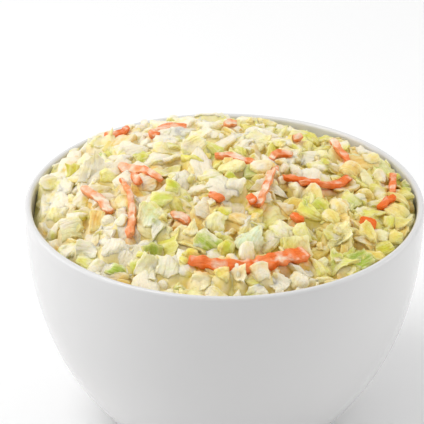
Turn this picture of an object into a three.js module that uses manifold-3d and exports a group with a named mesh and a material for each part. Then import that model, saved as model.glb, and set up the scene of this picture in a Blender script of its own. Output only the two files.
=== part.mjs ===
// Coleslaw heaped in a round white porcelain bowl.
// Frame: millimetres, +Z up, the origin on the table under the bowl's centre. The eater sits at -Y.
// The bowl is one thin-walled solid. The salad is one solid that fills it to the wall and heaps above
// the lip: a lumpy core with chopped cabbage, leaf flakes and carrot shreds fused onto it.

import * as THREE from "three";
import { mergeVertices } from "three/addons/utils/BufferGeometryUtils.js";
import Module from "manifold-3d";

const wasm = await Module();
wasm.setup();

// ---- Driving sizes ----
const RIM_RADIUS = 57.5; // outside of the lip
const BOWL_HEIGHT = 70; // table to the top of the lip
const LIP_THICKNESS = 2; // the wall at the lip, rounded over its top
const FLOOR_THICKNESS = 4.5; // table to the inside bottom
const FOOT_RADIUS = 30.5; // outside of the foot ring
const FOOT_HEIGHT = 2.2; // table to where the ring meets the wall
const FOOT_WIDTH = 3.5;
const FOOT_EDGE = 0.6; // rounding of the ring's edges
const RECESS_DEPTH = 1.5; // hollow inside the foot ring

// The wall is a superellipse: radius = top radius * (1 - (depth / reach) ^ bulge) ^ (1 / curl).
const OUTSIDE = { radius: RIM_RADIUS, reach: 84.2, bulge: 2.25, curl: 1.72, flare: 0.03 };
const INSIDE = {
  radius: RIM_RADIUS - LIP_THICKNESS,
  reach: BOWL_HEIGHT - FLOOR_THICKNESS,
  bulge: 2.4,
  curl: 3,
  flare: 0,
};

const GAP = 0.35; // clearance between the salad and the porcelain
const FILL_RADIUS = INSIDE.radius - GAP;
const DOME_LEVEL = 9; // bare core's height in the middle, from the top of the lip
const EDGE_LEVEL = -4; // the same at the wall
const SHOULDER = 60; // height above the table that the core's side reaches before its top begins
const BANK_RISE = 3; // how much higher the salad is banked up at the back left
const BANK_HEADING = THREE.MathUtils.degToRad(145);
const TROUGH_DEPTH = 4; // how far it has slumped along the left wall
const TROUGH_HEADING = THREE.MathUtils.degToRad(190);
const LUMP_HEIGHT = 1; // broad unevenness of the core

const BOWL_FACETS = 56;
const CORE_FACETS = 40;
const WALL_STEPS = 7; // facets up the wall, inside and out
const WALL_CROWDING = 1.6; // over 1, the facets close up low down, where the wall curls in
const CORE_RINGS = 8; // facets from the wall to the middle of the core's top
const SEED = 21;
const GOLDEN_ANGLE = Math.PI * (3 - Math.sqrt(5));

// Cuts of cabbage, each as often in the draw as it comes in the salad. Lengths are ranges.
const CHUNK = { length: [5.5, 8.5], width: [3.8, 5.5], thick: 2.2, curl: 0.3, tilt: 0.5, cells: [1, 1] };
const LEAF = { length: [8, 12], width: [6, 8.5], thick: 1.2, curl: 1.5, tilt: 0.6, cells: [2, 1] };
const STRIP = { length: [10, 15], width: [2.4, 3.2], thick: 1.6, curl: 1.4, tilt: 0.35, cells: [3, 1] };
const CUTS = [CHUNK, CHUNK, CHUNK, CHUNK, CHUNK, LEAF, LEAF, LEAF, STRIP, STRIP];
const PIECES = 155; // cabbage pieces fused onto the core
const PIECE_RISE = 0.8; // height of a piece's middle over the core

// Carrot shreds: middle point, heading in degrees from +X, length and sideways bow.
const CARROT_WIDTH = 2.6;
const CARROT_THICKNESS = 2;
const CARROTS = [
  { x: 6.5, y: -42, heading: 10, length: 31, bow: 4.5 },
  { x: 22, y: -4.5, heading: 13, length: 11, bow: 0.5 },
  { x: 29, y: -3, heading: 35, length: 18, bow: 1 },
  { x: 12, y: -10, heading: -104, length: 23, bow: 0 },
  { x: -24, y: 0, heading: -40, length: 17, bow: -0.5 },
  { x: -27, y: -16, heading: -83, length: 27, bow: -1.5 },
  { x: -36, y: -11, heading: -52, length: 14, bow: -1 },
  { x: -17.5, y: 32.5, heading: 49, length: 13, bow: -4 },
  { x: -32, y: 34, heading: 45, length: 9, bow: 2.5 },
  { x: 3.5, y: 3.5, heading: -21, length: 13, bow: -1 },
  { x: 16, y: 9.5, heading: 37, length: 8, bow: -2.5 },
  { x: 34.5, y: 19.5, heading: -67, length: 12, bow: 0 },
  { x: 49, y: 6, heading: -93, length: 15, bow: 0 },
  { x: 46, y: -7.5, heading: 60, length: 8, bow: 0 },
  { x: 40, y: -19, heading: -25, length: 5, bow: 0 },
  { x: 20, y: -24, heading: -50, length: 4.5, bow: 0 },
  { x: -12.5, y: -24, heading: -38, length: 6, bow: -1 },
  { x: -2.5, y: -18.5, heading: -42, length: 4.5, bow: 0 },
  { x: -25, y: -4.5, heading: -67, length: 5, bow: 0 },
  { x: 7.5, y: -19.5, heading: -74, length: 4.5, bow: 0 },
];

// A repeatable random draw in [0, 1).
function seeded(seed) {
  let state = seed >>> 0;
  return () => {
    state = (state + 0x6d2b79f5) >>> 0;
    let t = Math.imul(state ^ (state >>> 15), state | 1);
    t ^= t + Math.imul(t ^ (t >>> 7), t | 61);
    return ((t ^ (t >>> 14)) >>> 0) / 4294967296;
  };
}
const random = seeded(SEED);
const between = ([low, high]) => low + (high - low) * random();
const around = (spread) => spread * (2 * random() - 1);

// Radius of the wall's outside or inside at a height above the table.
function wallRadius(side, z) {
  const share = Math.min(Math.max((BOWL_HEIGHT - z) / side.reach, 0), 1);
  return side.radius * (1 - share ** side.bulge) ** (1 / side.curl) * (1 + side.flare * share);
}

// Height of the salad's bare core above the table.
function coreHeight(x, y) {
  const share = Math.min(Math.hypot(x, y) / FILL_RADIUS, 1);
  const heading = Math.atan2(y, x);
  const bank = BANK_RISE * Math.max(Math.cos(heading - BANK_HEADING), 0);
  const trough = TROUGH_DEPTH * Math.max(Math.cos(heading - TROUGH_HEADING), 0) ** 10;
  const dome = DOME_LEVEL * (1 - share ** 2) + (EDGE_LEVEL + bank) * share ** 2;
  const lumps = Math.sin(x / 7.5 + 0.8) * Math.cos(y / 6.8) + 0.6 * Math.sin((x + 1.3 * y) / 5.1);
  return BOWL_HEIGHT + dome - trough * share ** 8 + LUMP_HEIGHT * lumps * (1 - 0.5 * share);
}

// Upward unit normal of the bare core.
function coreNormal(x, y) {
  const step = 1.5;
  const slopeX = (coreHeight(x + step, y) - coreHeight(x - step, y)) / (2 * step);
  const slopeY = (coreHeight(x, y + step) - coreHeight(x, y - step)) / (2 * step);
  return new THREE.Vector3(-slopeX, -slopeY, 1).normalize();
}

// A closed three.js geometry as a manifold solid. Merging its vertices collapses the triangles that
// meet the axis of a lathe, and they are left out.
function solidOf(geometry) {
  const bare = new THREE.BufferGeometry().setAttribute("position", geometry.getAttribute("position"));
  const merged = mergeVertices(bare.setIndex(geometry.index), 1e-3);
  const corners = merged.index.array;
  const kept = [];
  for (let i = 0; i < corners.length; i += 3) {
    const [a, b, c] = corners.slice(i, i + 3);
    if (a !== b && b !== c && a !== c) kept.push(a, b, c);
  }
  const vertProperties = new Float32Array(merged.getAttribute("position").array);
  return new wasm.Manifold(new wasm.Mesh({ numProp: 3, vertProperties, triVerts: new Uint32Array(kept) }));
}

// The largest body of a fused solid as a geometry: loose scraps are dropped and sealed hollows filled.
function geometryOf(solid) {
  const bodies = solid.decompose().sort((a, b) => b.volume() - a.volume());
  const mesh = bodies[0].getMesh();
  const geometry = new THREE.BufferGeometry();
  geometry.setAttribute("position", new THREE.BufferAttribute(new Float32Array(mesh.vertProperties), 3));
  geometry.setIndex(new THREE.BufferAttribute(new Uint32Array(mesh.triVerts), 1));
  geometry.computeVertexNormals();
  return geometry;
}

// A surface of revolution about +Z from [radius, height] pairs.
function turned(profile, facets) {
  const points = profile.map(([r, z]) => new THREE.Vector2(r, z));
  return new THREE.LatheGeometry(points, facets).rotateX(Math.PI / 2);
}

// [radius, height] pairs up one side of the wall from a low to a high height.
function wallProfile(side, low, high) {
  const profile = [];
  for (let i = 0; i <= WALL_STEPS; i++) {
    const z = low + (high - low) * (i / WALL_STEPS) ** WALL_CROWDING;
    profile.push([wallRadius(side, z), z]);
  }
  return profile;
}
const insideProfile = () => wallProfile(INSIDE, FLOOR_THICKNESS, SHOULDER);

// ---- Bowl ----
function bowlGeometry() {
  const footInside = FOOT_RADIUS - FOOT_WIDTH;
  const lipRadius = LIP_THICKNESS / 2;
  const lipCentre = [RIM_RADIUS - lipRadius, BOWL_HEIGHT - lipRadius];
  const profile = [
    [0, RECESS_DEPTH],
    [footInside - FOOT_EDGE, RECESS_DEPTH],
    [footInside, 0],
    [FOOT_RADIUS - FOOT_EDGE, 0],
    [FOOT_RADIUS, FOOT_EDGE],
    [FOOT_RADIUS, FOOT_HEIGHT],
    ...wallProfile(OUTSIDE, FOOT_HEIGHT + FOOT_EDGE, lipCentre[1]),
  ];
  for (const turn of [0.25, 0.5, 0.75, 1]) {
    const angle = Math.PI * turn;
    profile.push([lipCentre[0] + lipRadius * Math.cos(angle), lipCentre[1] + lipRadius * Math.sin(angle)]);
  }
  return turned([...profile, ...insideProfile().reverse()], BOWL_FACETS);
}

// ---- Salad ----
// The bare core: the inside of the bowl, in and up by the gap, under the lumpy top.
function coreSolid() {
  const profile = insideProfile().map(([r, z]) => [Math.max(r - GAP, 0), z + GAP]);
  const sides = profile.length;
  for (let i = CORE_RINGS; i >= 0; i--) profile.push([(FILL_RADIUS - GAP) * (i / CORE_RINGS), BOWL_HEIGHT]);
  const geometry = turned(profile, CORE_FACETS);
  const at = geometry.getAttribute("position");
  for (let i = 0; i < at.count; i++) {
    if (i % profile.length >= sides) at.setZ(i, coreHeight(at.getX(i), at.getY(i)));
  }
  return solidOf(geometry);
}

// A curved slab: a lattice of cells whose middle surface is shape(u, v), with u and v in [-1, 1].
// Its two faces are split into triangles alike.
function slab([cellsLong, cellsWide], thickness, shape) {
  const rows = cellsLong + 1;
  const columns = cellsWide + 1;
  const corners = [];
  for (const side of [1, -1]) {
    for (let i = 0; i < rows; i++) {
      for (let j = 0; j < columns; j++) {
        const point = shape((2 * i) / cellsLong - 1, (2 * j) / cellsWide - 1);
        corners.push(point.x, point.y, point.z + (side * thickness) / 2);
      }
    }
  }
  const vertex = (side, i, j) => side * rows * columns + i * columns + j;
  const faces = [];
  for (let i = 0; i < cellsLong; i++) {
    for (let j = 0; j < cellsWide; j++) {
      for (const side of [0, 1]) {
        const [a, b] = [vertex(side, i, j), vertex(side, i + 1, j)];
        const [c, d] = [vertex(side, i + 1, j + 1), vertex(side, i, j + 1)];
        faces.push(...(side ? [a, c, b, a, d, c] : [a, b, c, a, c, d]));
      }
    }
  }
  const edge = [];
  for (let i = 0; i < cellsLong; i++) edge.push([i, 0]);
  for (let j = 0; j < cellsWide; j++) edge.push([cellsLong, j]);
  for (let i = cellsLong; i > 0; i--) edge.push([i, cellsWide]);
  for (let j = cellsWide; j > 0; j--) edge.push([0, j]);
  edge.forEach(([i, j], k) => {
    const [ni, nj] = edge[(k + 1) % edge.length];
    const [a, b] = [vertex(0, i, j), vertex(0, ni, nj)];
    const [c, d] = [vertex(1, ni, nj), vertex(1, i, j)];
    faces.push(a, d, c, a, c, b);
  });
  const geometry = new THREE.BufferGeometry();
  geometry.setAttribute("position", new THREE.BufferAttribute(new Float32Array(corners), 3));
  return geometry.setIndex(faces);
}

// Moves a piece towards the axis until every corner is clear of the wall.
function clearOfWall(geometry) {
  const at = geometry.getAttribute("position");
  const push = new THREE.Vector2();
  let worst = 0;
  for (let i = 0; i < at.count; i++) {
    const radius = Math.hypot(at.getX(i), at.getY(i));
    const excess = radius - (wallRadius(INSIDE, at.getZ(i)) - 2 * GAP);
    if (excess > worst) {
      worst = excess;
      push.set(-at.getX(i), -at.getY(i)).multiplyScalar(excess / radius);
    }
  }
  return geometry.translate(push.x, push.y, 0);
}

// One cut of cabbage about the origin, its corners drawn in unevenly.
function cabbageGeometry(cut) {
  const length = between(cut.length);
  const width = between(cut.width);
  const taper = 0.15 + 0.3 * random();
  const skew = around(0.35);
  const curl = cut.curl * (0.6 + 0.8 * random());
  const wave = around(0.5);
  const shape = (u, v) => {
    const x = (length / 2) * u * (1 - 0.25 * v * v);
    const y = (width / 2) * (v * (1 - taper * u * u + 0.2 * skew * u) + 0.5 * skew * u);
    return new THREE.Vector3(x, y, -curl * u * u + wave * cut.curl * u * v);
  };
  return slab(cut.cells, cut.thick, shape);
}

// The cuts of cabbage, spread evenly over the core by a sunflower spiral.
function cabbageSolids() {
  const solids = [];
  for (let i = 0; i < PIECES; i++) {
    const reach = FILL_RADIUS * 0.97 * Math.sqrt((i + 0.5) / PIECES);
    const x = reach * Math.cos(i * GOLDEN_ANGLE) + around(1);
    const y = reach * Math.sin(i * GOLDEN_ANGLE) + around(1);
    const cut = CUTS[Math.floor(random() * CUTS.length)];
    const lie = new THREE.Quaternion().setFromUnitVectors(new THREE.Vector3(0, 0, 1), coreNormal(x, y));
    const turn = new THREE.Euler(around(cut.tilt), around(cut.tilt), random() * 2 * Math.PI);
    const geometry = cabbageGeometry(cut);
    geometry.applyQuaternion(lie.multiply(new THREE.Quaternion().setFromEuler(turn)));
    geometry.translate(x, y, coreHeight(x, y) + PIECE_RISE + 0.25 * cut.thick);
    solids.push(solidOf(clearOfWall(geometry)));
  }
  return solids;
}

// A carrot shred that follows the heap, tapered at both ends.
function carrotSolid(shred) {
  const heading = THREE.MathUtils.degToRad(shred.heading);
  const ahead = new THREE.Vector2(Math.cos(heading), Math.sin(heading));
  const aside = new THREE.Vector2(-ahead.y, ahead.x);
  const cells = Math.max(2, Math.round(shred.length / 5));
  const shape = (u, v) => {
    const along = (shred.length / 2) * u;
    const across = shred.bow * (u * u - 0.5) + (CARROT_WIDTH / 2) * v * (1 - 0.45 * u ** 4);
    const x = shred.x + ahead.x * along + aside.x * across;
    const y = shred.y + ahead.y * along + aside.y * across;
    return new THREE.Vector3(x, y, coreHeight(x, y) + 1.9 - 1.2 * u * u);
  };
  return solidOf(clearOfWall(slab([cells, 1], CARROT_THICKNESS, shape)));
}

function saladGeometry() {
  const solids = [...cabbageSolids(), ...CARROTS.map(carrotSolid)];
  return geometryOf(solids.reduce((heap, piece) => heap.add(piece), coreSolid()));
}

const object = new THREE.Group();
const porcelain = new THREE.MeshStandardMaterial({ color: 0xf2f1f0, roughness: 0.15, metalness: 0 });
const bowl = new THREE.Mesh(bowlGeometry(), porcelain);
bowl.name = "bowl";
const dressed = new THREE.MeshStandardMaterial({ color: 0xe9e4b8, roughness: 0.4, metalness: 0 });
const salad = new THREE.Mesh(saladGeometry(), dressed);
salad.name = "coleslaw";
object.add(bowl, salad);

export default object;
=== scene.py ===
"""Coleslaw heaped in a round white porcelain bowl.

The bowl is the CAD's profile, turned finely. The heap is chopped cabbage (chunks, leaf flakes,
strips and crumbs) and carrot shreds, each a closed lump of its own at true size. They are laid
one after another on a grid of heights until they reach the heap's outline. The dressing is one
closed mesh: it fills the bowl under them and the grooves between them.
Sizes are in millimetres, as in the CAD, until mesh_object turns them into metres.
"""

import math
from collections import namedtuple

import bpy
import numpy as np
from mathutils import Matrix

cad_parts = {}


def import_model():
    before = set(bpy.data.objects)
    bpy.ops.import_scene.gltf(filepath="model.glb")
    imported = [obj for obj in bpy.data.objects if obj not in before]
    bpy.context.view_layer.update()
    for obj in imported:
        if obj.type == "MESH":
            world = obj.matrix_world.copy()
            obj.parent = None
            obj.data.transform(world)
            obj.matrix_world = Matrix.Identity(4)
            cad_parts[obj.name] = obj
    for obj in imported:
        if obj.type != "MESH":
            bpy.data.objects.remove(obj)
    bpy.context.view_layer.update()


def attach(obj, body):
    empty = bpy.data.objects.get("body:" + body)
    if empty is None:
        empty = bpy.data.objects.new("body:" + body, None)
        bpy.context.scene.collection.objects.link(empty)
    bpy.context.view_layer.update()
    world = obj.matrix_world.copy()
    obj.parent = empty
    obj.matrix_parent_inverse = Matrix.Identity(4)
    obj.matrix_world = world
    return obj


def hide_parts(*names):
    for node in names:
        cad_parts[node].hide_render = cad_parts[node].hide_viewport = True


MM = 0.001

# ---- Bowl, as in the CAD ----
RIM_RADIUS = 57.5
BOWL_HEIGHT = 70.0
LIP_THICKNESS = 2.0
FLOOR_THICKNESS = 4.5
FOOT_RADIUS = 30.5
FOOT_HEIGHT = 2.2
FOOT_WIDTH = 3.5
FOOT_EDGE = 0.6
RECESS_DEPTH = 1.5
# A wall is a superellipse: see wall_radius. It would close at the depth of its reach.
Side = namedtuple("Side", "radius reach bulge curl flare")
OUTSIDE = Side(RIM_RADIUS, 84.2, 2.25, 1.72, 0.03)
INSIDE = Side(RIM_RADIUS - LIP_THICKNESS, BOWL_HEIGHT - FLOOR_THICKNESS, 2.4, 3.0, 0.0)
BOWL_SEGMENTS = 192
WALL_STEPS = 40
LIP_STEPS = 11

# ---- Heap, as in the CAD ----
GAP = 0.35  # between the CAD's heap and the porcelain
FILL_RADIUS = INSIDE.radius - GAP
DOME_LEVEL = 9.0  # height of the heap's middle over the lip
EDGE_LEVEL = -4.0  # height of its edge over the lip
BANK_RISE = 3.0  # how much higher the salad is banked up at the back left
BANK_HEADING = math.radians(145)
TROUGH_DEPTH = 4.0  # how far it has slumped along the left wall
TROUGH_HEADING = math.radians(190)

# ---- Cover: the mean top of the loose pieces ----
COVER = -1.6  # its height over the CAD's core
CLUMPS = 1.8  # most that it rises in clumps and sinks in hollows
# Heading in degrees, and how far it rises along the wall there
WALL_RISES = [(-180, 0.8), (-165, 0.0), (-60, 0.0), (-30, 1.2), (0, 2.2), (35, 3.0), (60, 1.8)]
WALL_RISES += [(80, 1.2), (95, 2.0), (135, 2.3), (155, 1.8), (172, 2.2), (180, 0.8)]

# ---- Grid of heights ----
CELL = 0.5
GRID_MARGIN = 3.0  # past the inside of the bowl
FACE_SAMPLES = (0.12, 0.5, 0.88)  # places along and across a face that raise the grid
DEEP = 2.2  # under the heap's smoothed top, where a point counts as deep

# ---- Laying the loose pieces ----
HEAP_SEED = 7
BED = 8.0  # depth of the loose pieces
UNDER_SHARE = 1.0  # of each cut's count, laid under the carrot shreds
OVER_SHARE = 0.7  # of each cut's count, laid over them
PLACES_TRIED = 4
FULL = 0.9  # over the cover, where the middle of a piece finds no more room
LUCK = 1.6  # random change of that height
HIGHEST = 3.8  # of any point of a piece over the cover
MOST_OVER_CARROT = 0.35  # share of a piece that may lie where the carrots are kept clear
CLEAR_PERCENT = 62  # of a piece's points that lie over what is under it, not pressed in
FEATURE_CLEAR_PERCENT = 60
MIDDLE_SIZE = 1.1  # of the pieces, over the sizes of their cut
SIZE_TO_LEFT = 0.004  # more a millimetre to the left
SIZE_TO_BACK = 0.001
SLOPE_STEP = 3.0  # over which the heap's slope is taken
FACING = 0.5  # radians that the pieces at the front lean towards -Y
MIDDLE_FACING = 0.6  # share of that in the middle of the heap
FACING_REACH = 60.0  # millimetres of Y over which the share falls by 1
LEFT_FACING = 0.012  # more of the share a millimetre to the left
FIRST_WALL_GAP = 0.5  # of a piece to the porcelain, before it settles
WALL_GAP = 0.4  # and after
SIGHT_DEPTH = 1.2  # under the finished top, where a whole piece is out of sight

# ---- Camera and light ----
VIEW_ELEVATION = math.radians(28)
VIEW_DISTANCE = 0.6  # in metres, as are the other lengths here
VIEW_TARGET = (-0.00356, 0.0, 0.0653)
LENS = 175.9  # focal length and sensor in millimetres
SENSOR_WIDTH = 36.0
SKY_LIGHT = 0.84
FRONT_LIGHT = 0.32  # of the sky behind the camera
FRONT_END = -1.0  # Y of the direction in which the sky is that dim
FRONT_START = -0.15  # Y from which it grows dimmer
SIDE_LIGHT = 2.35  # more light from the far left and right
SIDE_START = 0.78  # X, either way, from which it grows
KEY_POWER = 3.15
KEY_PLACE = (-0.42, 0.0, 0.8)
KEY_SIZE = 0.5
FLOOR_HALF = 3000.0  # in millimetres

# ---- Cuts of cabbage ----
# Ranges of size, the most that a piece bends, waves and bows, its usual tilt in radians, how far
# its rind shows, and where its box is cut across and up
Cut = namedtuple("Cut", "name count length width thick bend wave bow tilt rind steps levels")
COARSE = (-1, -0.8, 0, 0.8, 1)
MEDIUM = (-1, -0.87, -0.45, 0, 0.45, 0.87, 1)
FINE = (-1, -0.93, -0.7, -0.46, -0.23, 0, 0.23, 0.46, 0.7, 0.93, 1)
TWO = (-1, 1)
THREE = (-1, 0, 1)
CUTS = [
    Cut("chunks", 560, (7.5, 14.0), (4.6, 8.0), (1.5, 3.0), 2.8, 1.2, 1.6, 0.8, 0.5, MEDIUM, THREE),
    Cut("leaves", 760, (10.5, 19.0), (6.0, 11.0), (0.8, 1.5), 3.8, 2.2, 2.2, 0.9, 1.3, FINE, TWO),
    Cut("strips", 560, (9.5, 17.0), (3.4, 6.0), (1.1, 2.0), 3.2, 1.5, 3.2, 0.7, 0.7, MEDIUM, THREE),
    Cut("crumbs", 220, (2.8, 4.8), (2.0, 3.4), (1.2, 2.2), 0.3, 0.2, 0.2, 1.0, 0.4, COARSE, TWO),
]
CORNER_COUNTS = (3, 4, 5)
CORNER_ODDS = (0.2, 0.4, 0.4)
CORNER_SHIFT = 0.18  # most that a corner moves, of the angle between two
CORNER_REACH = 1.15  # of a corner, over the oval through the middles of the sides
REACH_RANGE = (0.78, 1.12)
STRAIGHTNESS = (0.3, 1.0)  # of the outline, from that oval to the straight-sided polygon
RAGGED = ((3, 7, 0.06), (8, 14, 0.05))  # range of waves round the rim, and their height
WORN_IN = 0.07  # share by which worn edges draw in
WORN_THIN = 0.22  # share by which they are thinner
WEDGE = (0.5, 0.4)  # most that a piece thins towards one end and one side
THINNEST = 0.3
FOLD = 0.7  # radians that the line of the bend turns from square
BEND_RANGE = (0.2, 1.0)
HOLLOW_ODDS = (0.7, 0.3)  # of a piece whose ends bend down, and up
ROUGHNESS = (0.16, 0.16, 0.12)  # of the faces, along each axis
ROUGH_PITCH = 3.5

# ---- Carrot shreds, at their places in the photo ----
# Middle, heading in degrees, length, bow to the side, width, its growth ahead, and coat from 0 to 1
Shred = namedtuple("Shred", "x y heading length bow width growth coat")
CARROTS = [
    (6.5, -41.5, 10, 32, 4.5, 4.3, 0.3, 0.45),
    (22, -4.5, 13, 11, 0.5, 2.4, 0, 0.35),
    (29, -3, 35, 18, 1, 2.2, 0.1, 0.45),
    (12, -10, -104, 23, 0, 2.1, -0.1, 0.85),
    (-24, 0, -40, 17, -0.5, 2.6, -0.2, 1),
    (-27, -16, -83, 27, -1.5, 1.9, 0.35, 1),
    (-36, -11, -52, 14, -1, 2.6, 0.2, 1.1),
    (-32, 34, 45, 9, 2.5, 2.1, 0.1, 0.4),
    (3.5, 3.5, -21, 13, -1, 2.1, 0, 0.8),
    (16, 9.5, 37, 8, -2.5, 2.1, 0, 0.7),
    (34.5, 19.5, -67, 12, 0, 2.1, -0.1, 0.85),
    (49, 6, -93, 15, 0, 1.9, 0, 0.6),
    (46, -7.5, 60, 8, 0, 2.4, 0.1, 0.25),
    (40, -19, -25, 5, 0, 2.8, 0, 0.05),
    (20, -24, -50, 4.5, 0, 2.2, 0, 0.3),
    (-12.5, -24, -38, 6, -1, 2.4, 0, 0.95),
    (-2.5, -18.5, -42, 4.5, 0, 2.4, 0, 0.5),
    (-25, -4.5, -67, 5, 0, 2.1, 0, 0.7),
    (7.5, -19.5, -74, 4.5, 0, 2.4, 0, 0.5),
    (2, 36, 5, 4, 0, 2.2, 0, 1),
    (22, 26, 30, 3, 0, 2.1, 0, 0.8),
]
LAST_CARROTS = [(-17.5, 32.5, 49, 14.5, -4, 3.1, 0, 0.7)]  # over all the other pieces
CARROT_THICKNESS = 1.5
SHRED_STEP = 0.6  # between its sections
SHRED_SIDES = 12
SHRED_SMOOTHING = 45  # passes, with which it bridges the gaps under it
SHRED_LIFT = 0.42  # of its middle over what it lies on, in thicknesses
SHRED_WALL_GAP = 2.2  # between its middle line and the heap's edge
SHRED_TRACKS = (-0.9, 0, 0.9)  # lines along which it lies on the heap
WANDER = 0.2
TAPER_RANGE = (0.1, 0.4)  # share by which its ends are narrower
TAPER_POWERS = (6, 12)
SHRED_FACING = 0.45  # radians that a shred from left to right leans towards the camera
LEAN_SPREAD = 0.25
TWIST = 0.4
SQUARENESS = 0.35  # power that makes its round section a softly square one
WIDE_ROUGHNESS, WIDE_PITCH = 0.24, 2.8
HIGH_ROUGHNESS, HIGH_PITCH = 0.4, 2.3
CLEAR_HALF = 0.55  # share of its half length that later pieces keep clear
CLEAR_TRACKS = (0, -1.0)  # Y of the lines that they keep clear, from its own place


def linear(red, green, blue):
    """An 8-bit sRGB colour as linear light."""
    share = np.array([red, green, blue]) / 255
    return np.where(share > 0.04045, ((share + 0.055) / 1.055) ** 2.4, share / 12.92)


CREAM = linear(250, 239, 188)
IVORY = linear(251, 227, 138)
BLUSH = linear(254, 232, 192)
GOLDEN = linear(245, 198, 104)
PEAR = linear(232, 229, 108)
SAGE = linear(216, 230, 198)
LIME = linear(216, 211, 62)
LEAF = linear(164, 190, 58)
DRESSING = linear(242, 232, 209)
JUICE_AND_LOW_SHADE = linear(240, 211, 56)  # what it leaves of the colours: a flat yellowing, and painted shade low in the heap
WET = linear(244, 230, 190)
CARROT = linear(236, 108, 10)
SALMON = linear(247, 171, 120)
PEACH = linear(248, 192, 100)

# ---- Colours of the pieces ----
# A loose piece: at each point its tint, its coat of dressing and its place before it was bent
Piece = namedtuple("Piece", "points quads tint coat grain")
# The colour of a piece, of the rind at one end, how far the rind reaches, and the coat
Paint = namedtuple("Paint", "face rind reach coat")
# A cut piece about its own middle, the same while flat, and how near each point is to an edge
Form = namedtuple("Form", "points quads flat edge")
FACES = (CREAM, IVORY, GOLDEN, PEAR, LIME, LEAF)
PALE_ODDS = np.array([3, 3, 3.2])
GREEN_ODDS = np.array([3.6, 3.2, 1.0])
MIDDLE_GREEN = 0.85  # of the green odds, in the middle of the heap
GREEN_TO_RIGHT = 0.002  # more a millimetre to the right
BRIGHTNESS = (0.9, 1.05)
BRIGHTEST = 0.97
RIND_SHAPE = (1.0, 1.4)  # of the beta distribution of the rind's reach
RIND_MOTTLE, RIND_PITCH = 0.2, 5.0
# Painted highlight along the pieces' sharp edges
EDGE_HIGHLIGHT = 0.55
COATS = (0.12, 0.92)  # of bare and of dressed pieces
COAT_ODDS = (0.47, 0.53)
COAT_SPREAD = 0.12
BACK_LIGHT_COAT = 0.013  # more a millimetre, from where the back begins: painted light on the back of the heap
BACK_START = 5.0
COAT_TO_LEFT = 0.015
FEATURE_REACH = 0.9  # of the rind
CARROT_MOTTLE, CARROT_PITCH = 0.3, 4.0
SALMON_POWER = 1.6
CARROT_FILM = (0.63, -0.15)  # its film of dressing: what a full coat adds, and none has

# ---- Painted shade, stain and dressing over the finished heap ----
TINT_BLUR, STAIN_BLUR = 6, 30  # passes
BLEED = 0.8  # of the cabbage
NEIGHBOUR_SHARE = 0.3  # of the neighbours' colours, at full bleed
STAIN = 1.2
MOST_STAIN = 0.85
# Painted shade on the pieces, at full depth in the heap
LOW_SHADE_SHARE = 0.9
OFF_SIDES = 0.6  # less coat on what doesn't face up: dressing runs off, and the bare sides are painted warm shade
OFF_LOW = 0.4  # less coat deep in the heap: partly dressing, partly painted shade
FILM_SEED, FILM_PITCH, FILM_CHANGE = 9, 17.0, 0.45

# ---- Dressing between the pieces ----
SKIN_GAP = 0.09  # between the dressing and the porcelain
DRESSING_RINGS = 118
DRESSING_SEGMENTS = 480
SIDE_STEPS = 12
SHOULDER = 60.0  # about the height that its side reaches before its top begins
GROOVE_SEED, GROOVE_PITCH = 5, 13.0
GROOVE_DEPTH = 0.88  # mean, of the grooves between the pieces
GROOVE_CHANGE = 0.45
GROOVE_TO_RIGHT = 0.006  # deeper a millimetre to the right
GROOVE_TO_FRONT = 0.002
GROOVE_OFF_BACK = 0.014  # shallower a millimetre to the back
GROOVE_RANGE = (0.05, 1.6)
WALL_BAND = 1.5  # along the wall, in which the dressing stays up
WALL_DROP = 1.2  # most that it lies under the cover there
DRESSING_GREEN = 0.3
GREEN_BAND = 4.0  # along the wall, in which it is greener
GREEN_BY_WALL = 0.6
WHITE_MIDDLE, WHITE_TO_LEFT, WHITE_RANGE = 0.25, 0.006, (0.05, 0.6)
# Flat yellowing of the dressing, and painted shade where it lies deep
JUICE_FLAT, LOW_SHADE_DEEP = 0.2, 0.8

# ---- Cabbage pieces that stand out, at their places in the photo ----
# Middle, heading and tilt about X in degrees, length, width, colours, coat; roughly back to front
Feature = namedtuple("Feature", "x y heading tilt length width face rind coat")
CHUNKS = [
    (43.5, 20, -10, 24, 6, 5, IVORY, CREAM, 0.4),
    (-18.5, 14, 0, 24, 6.5, 6, IVORY, CREAM, 0.5),
    (-9.5, 12, 20, 28, 8.5, 7, CREAM, PEAR, 0.7),
    (45, 8.5, 30, 31, 5.5, 4.5, CREAM, CREAM, 0.6),
    (-50.5, 7.5, 10, 35, 8, 5, CREAM, PEAR, 0.8),
    (36.5, 7, -20, 24, 8.5, 5.5, IVORY, GOLDEN, 0.2),
    (10.5, -2.5, 10, 24, 8.5, 5, IVORY, CREAM, 0.4),
    (2, -7, 0, 28, 5, 3.5, LIME, LEAF, 0),
    (32, -16, -65, 31, 7, 5.5, IVORY, CREAM, 0.4),
    (-14.5, -13, -20, 28, 6.5, 4.5, LIME, LEAF, 0),
    (-18, -17, 10, 28, 9, 6.5, PEAR, LEAF, 0.15),
    (-43.5, -20, 20, 38, 8.5, 7.5, CREAM, SAGE, 0.8),
    (47.5, -22.5, 20, 24, 6.5, 5, IVORY, LIME, 0.2),
    (39, -25, -55, 28, 10, 5.5, IVORY, LIME, 0.2),
    (-9, -30.5, 80, 28, 7, 5, CREAM, IVORY, 0.6),
    (0.5, -37, 70, 28, 6.5, 5, LIME, LEAF, 0),
    (-9.5, -38.5, 80, 28, 5.5, 4.5, LIME, GOLDEN, 0),
    (-1, -47.5, 40, 31, 5.5, 5, IVORY, LIME, 0.2),
    (9.5, -46.5, 15, 40, 6.5, 6, BLUSH, IVORY, 0.5),
]
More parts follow.
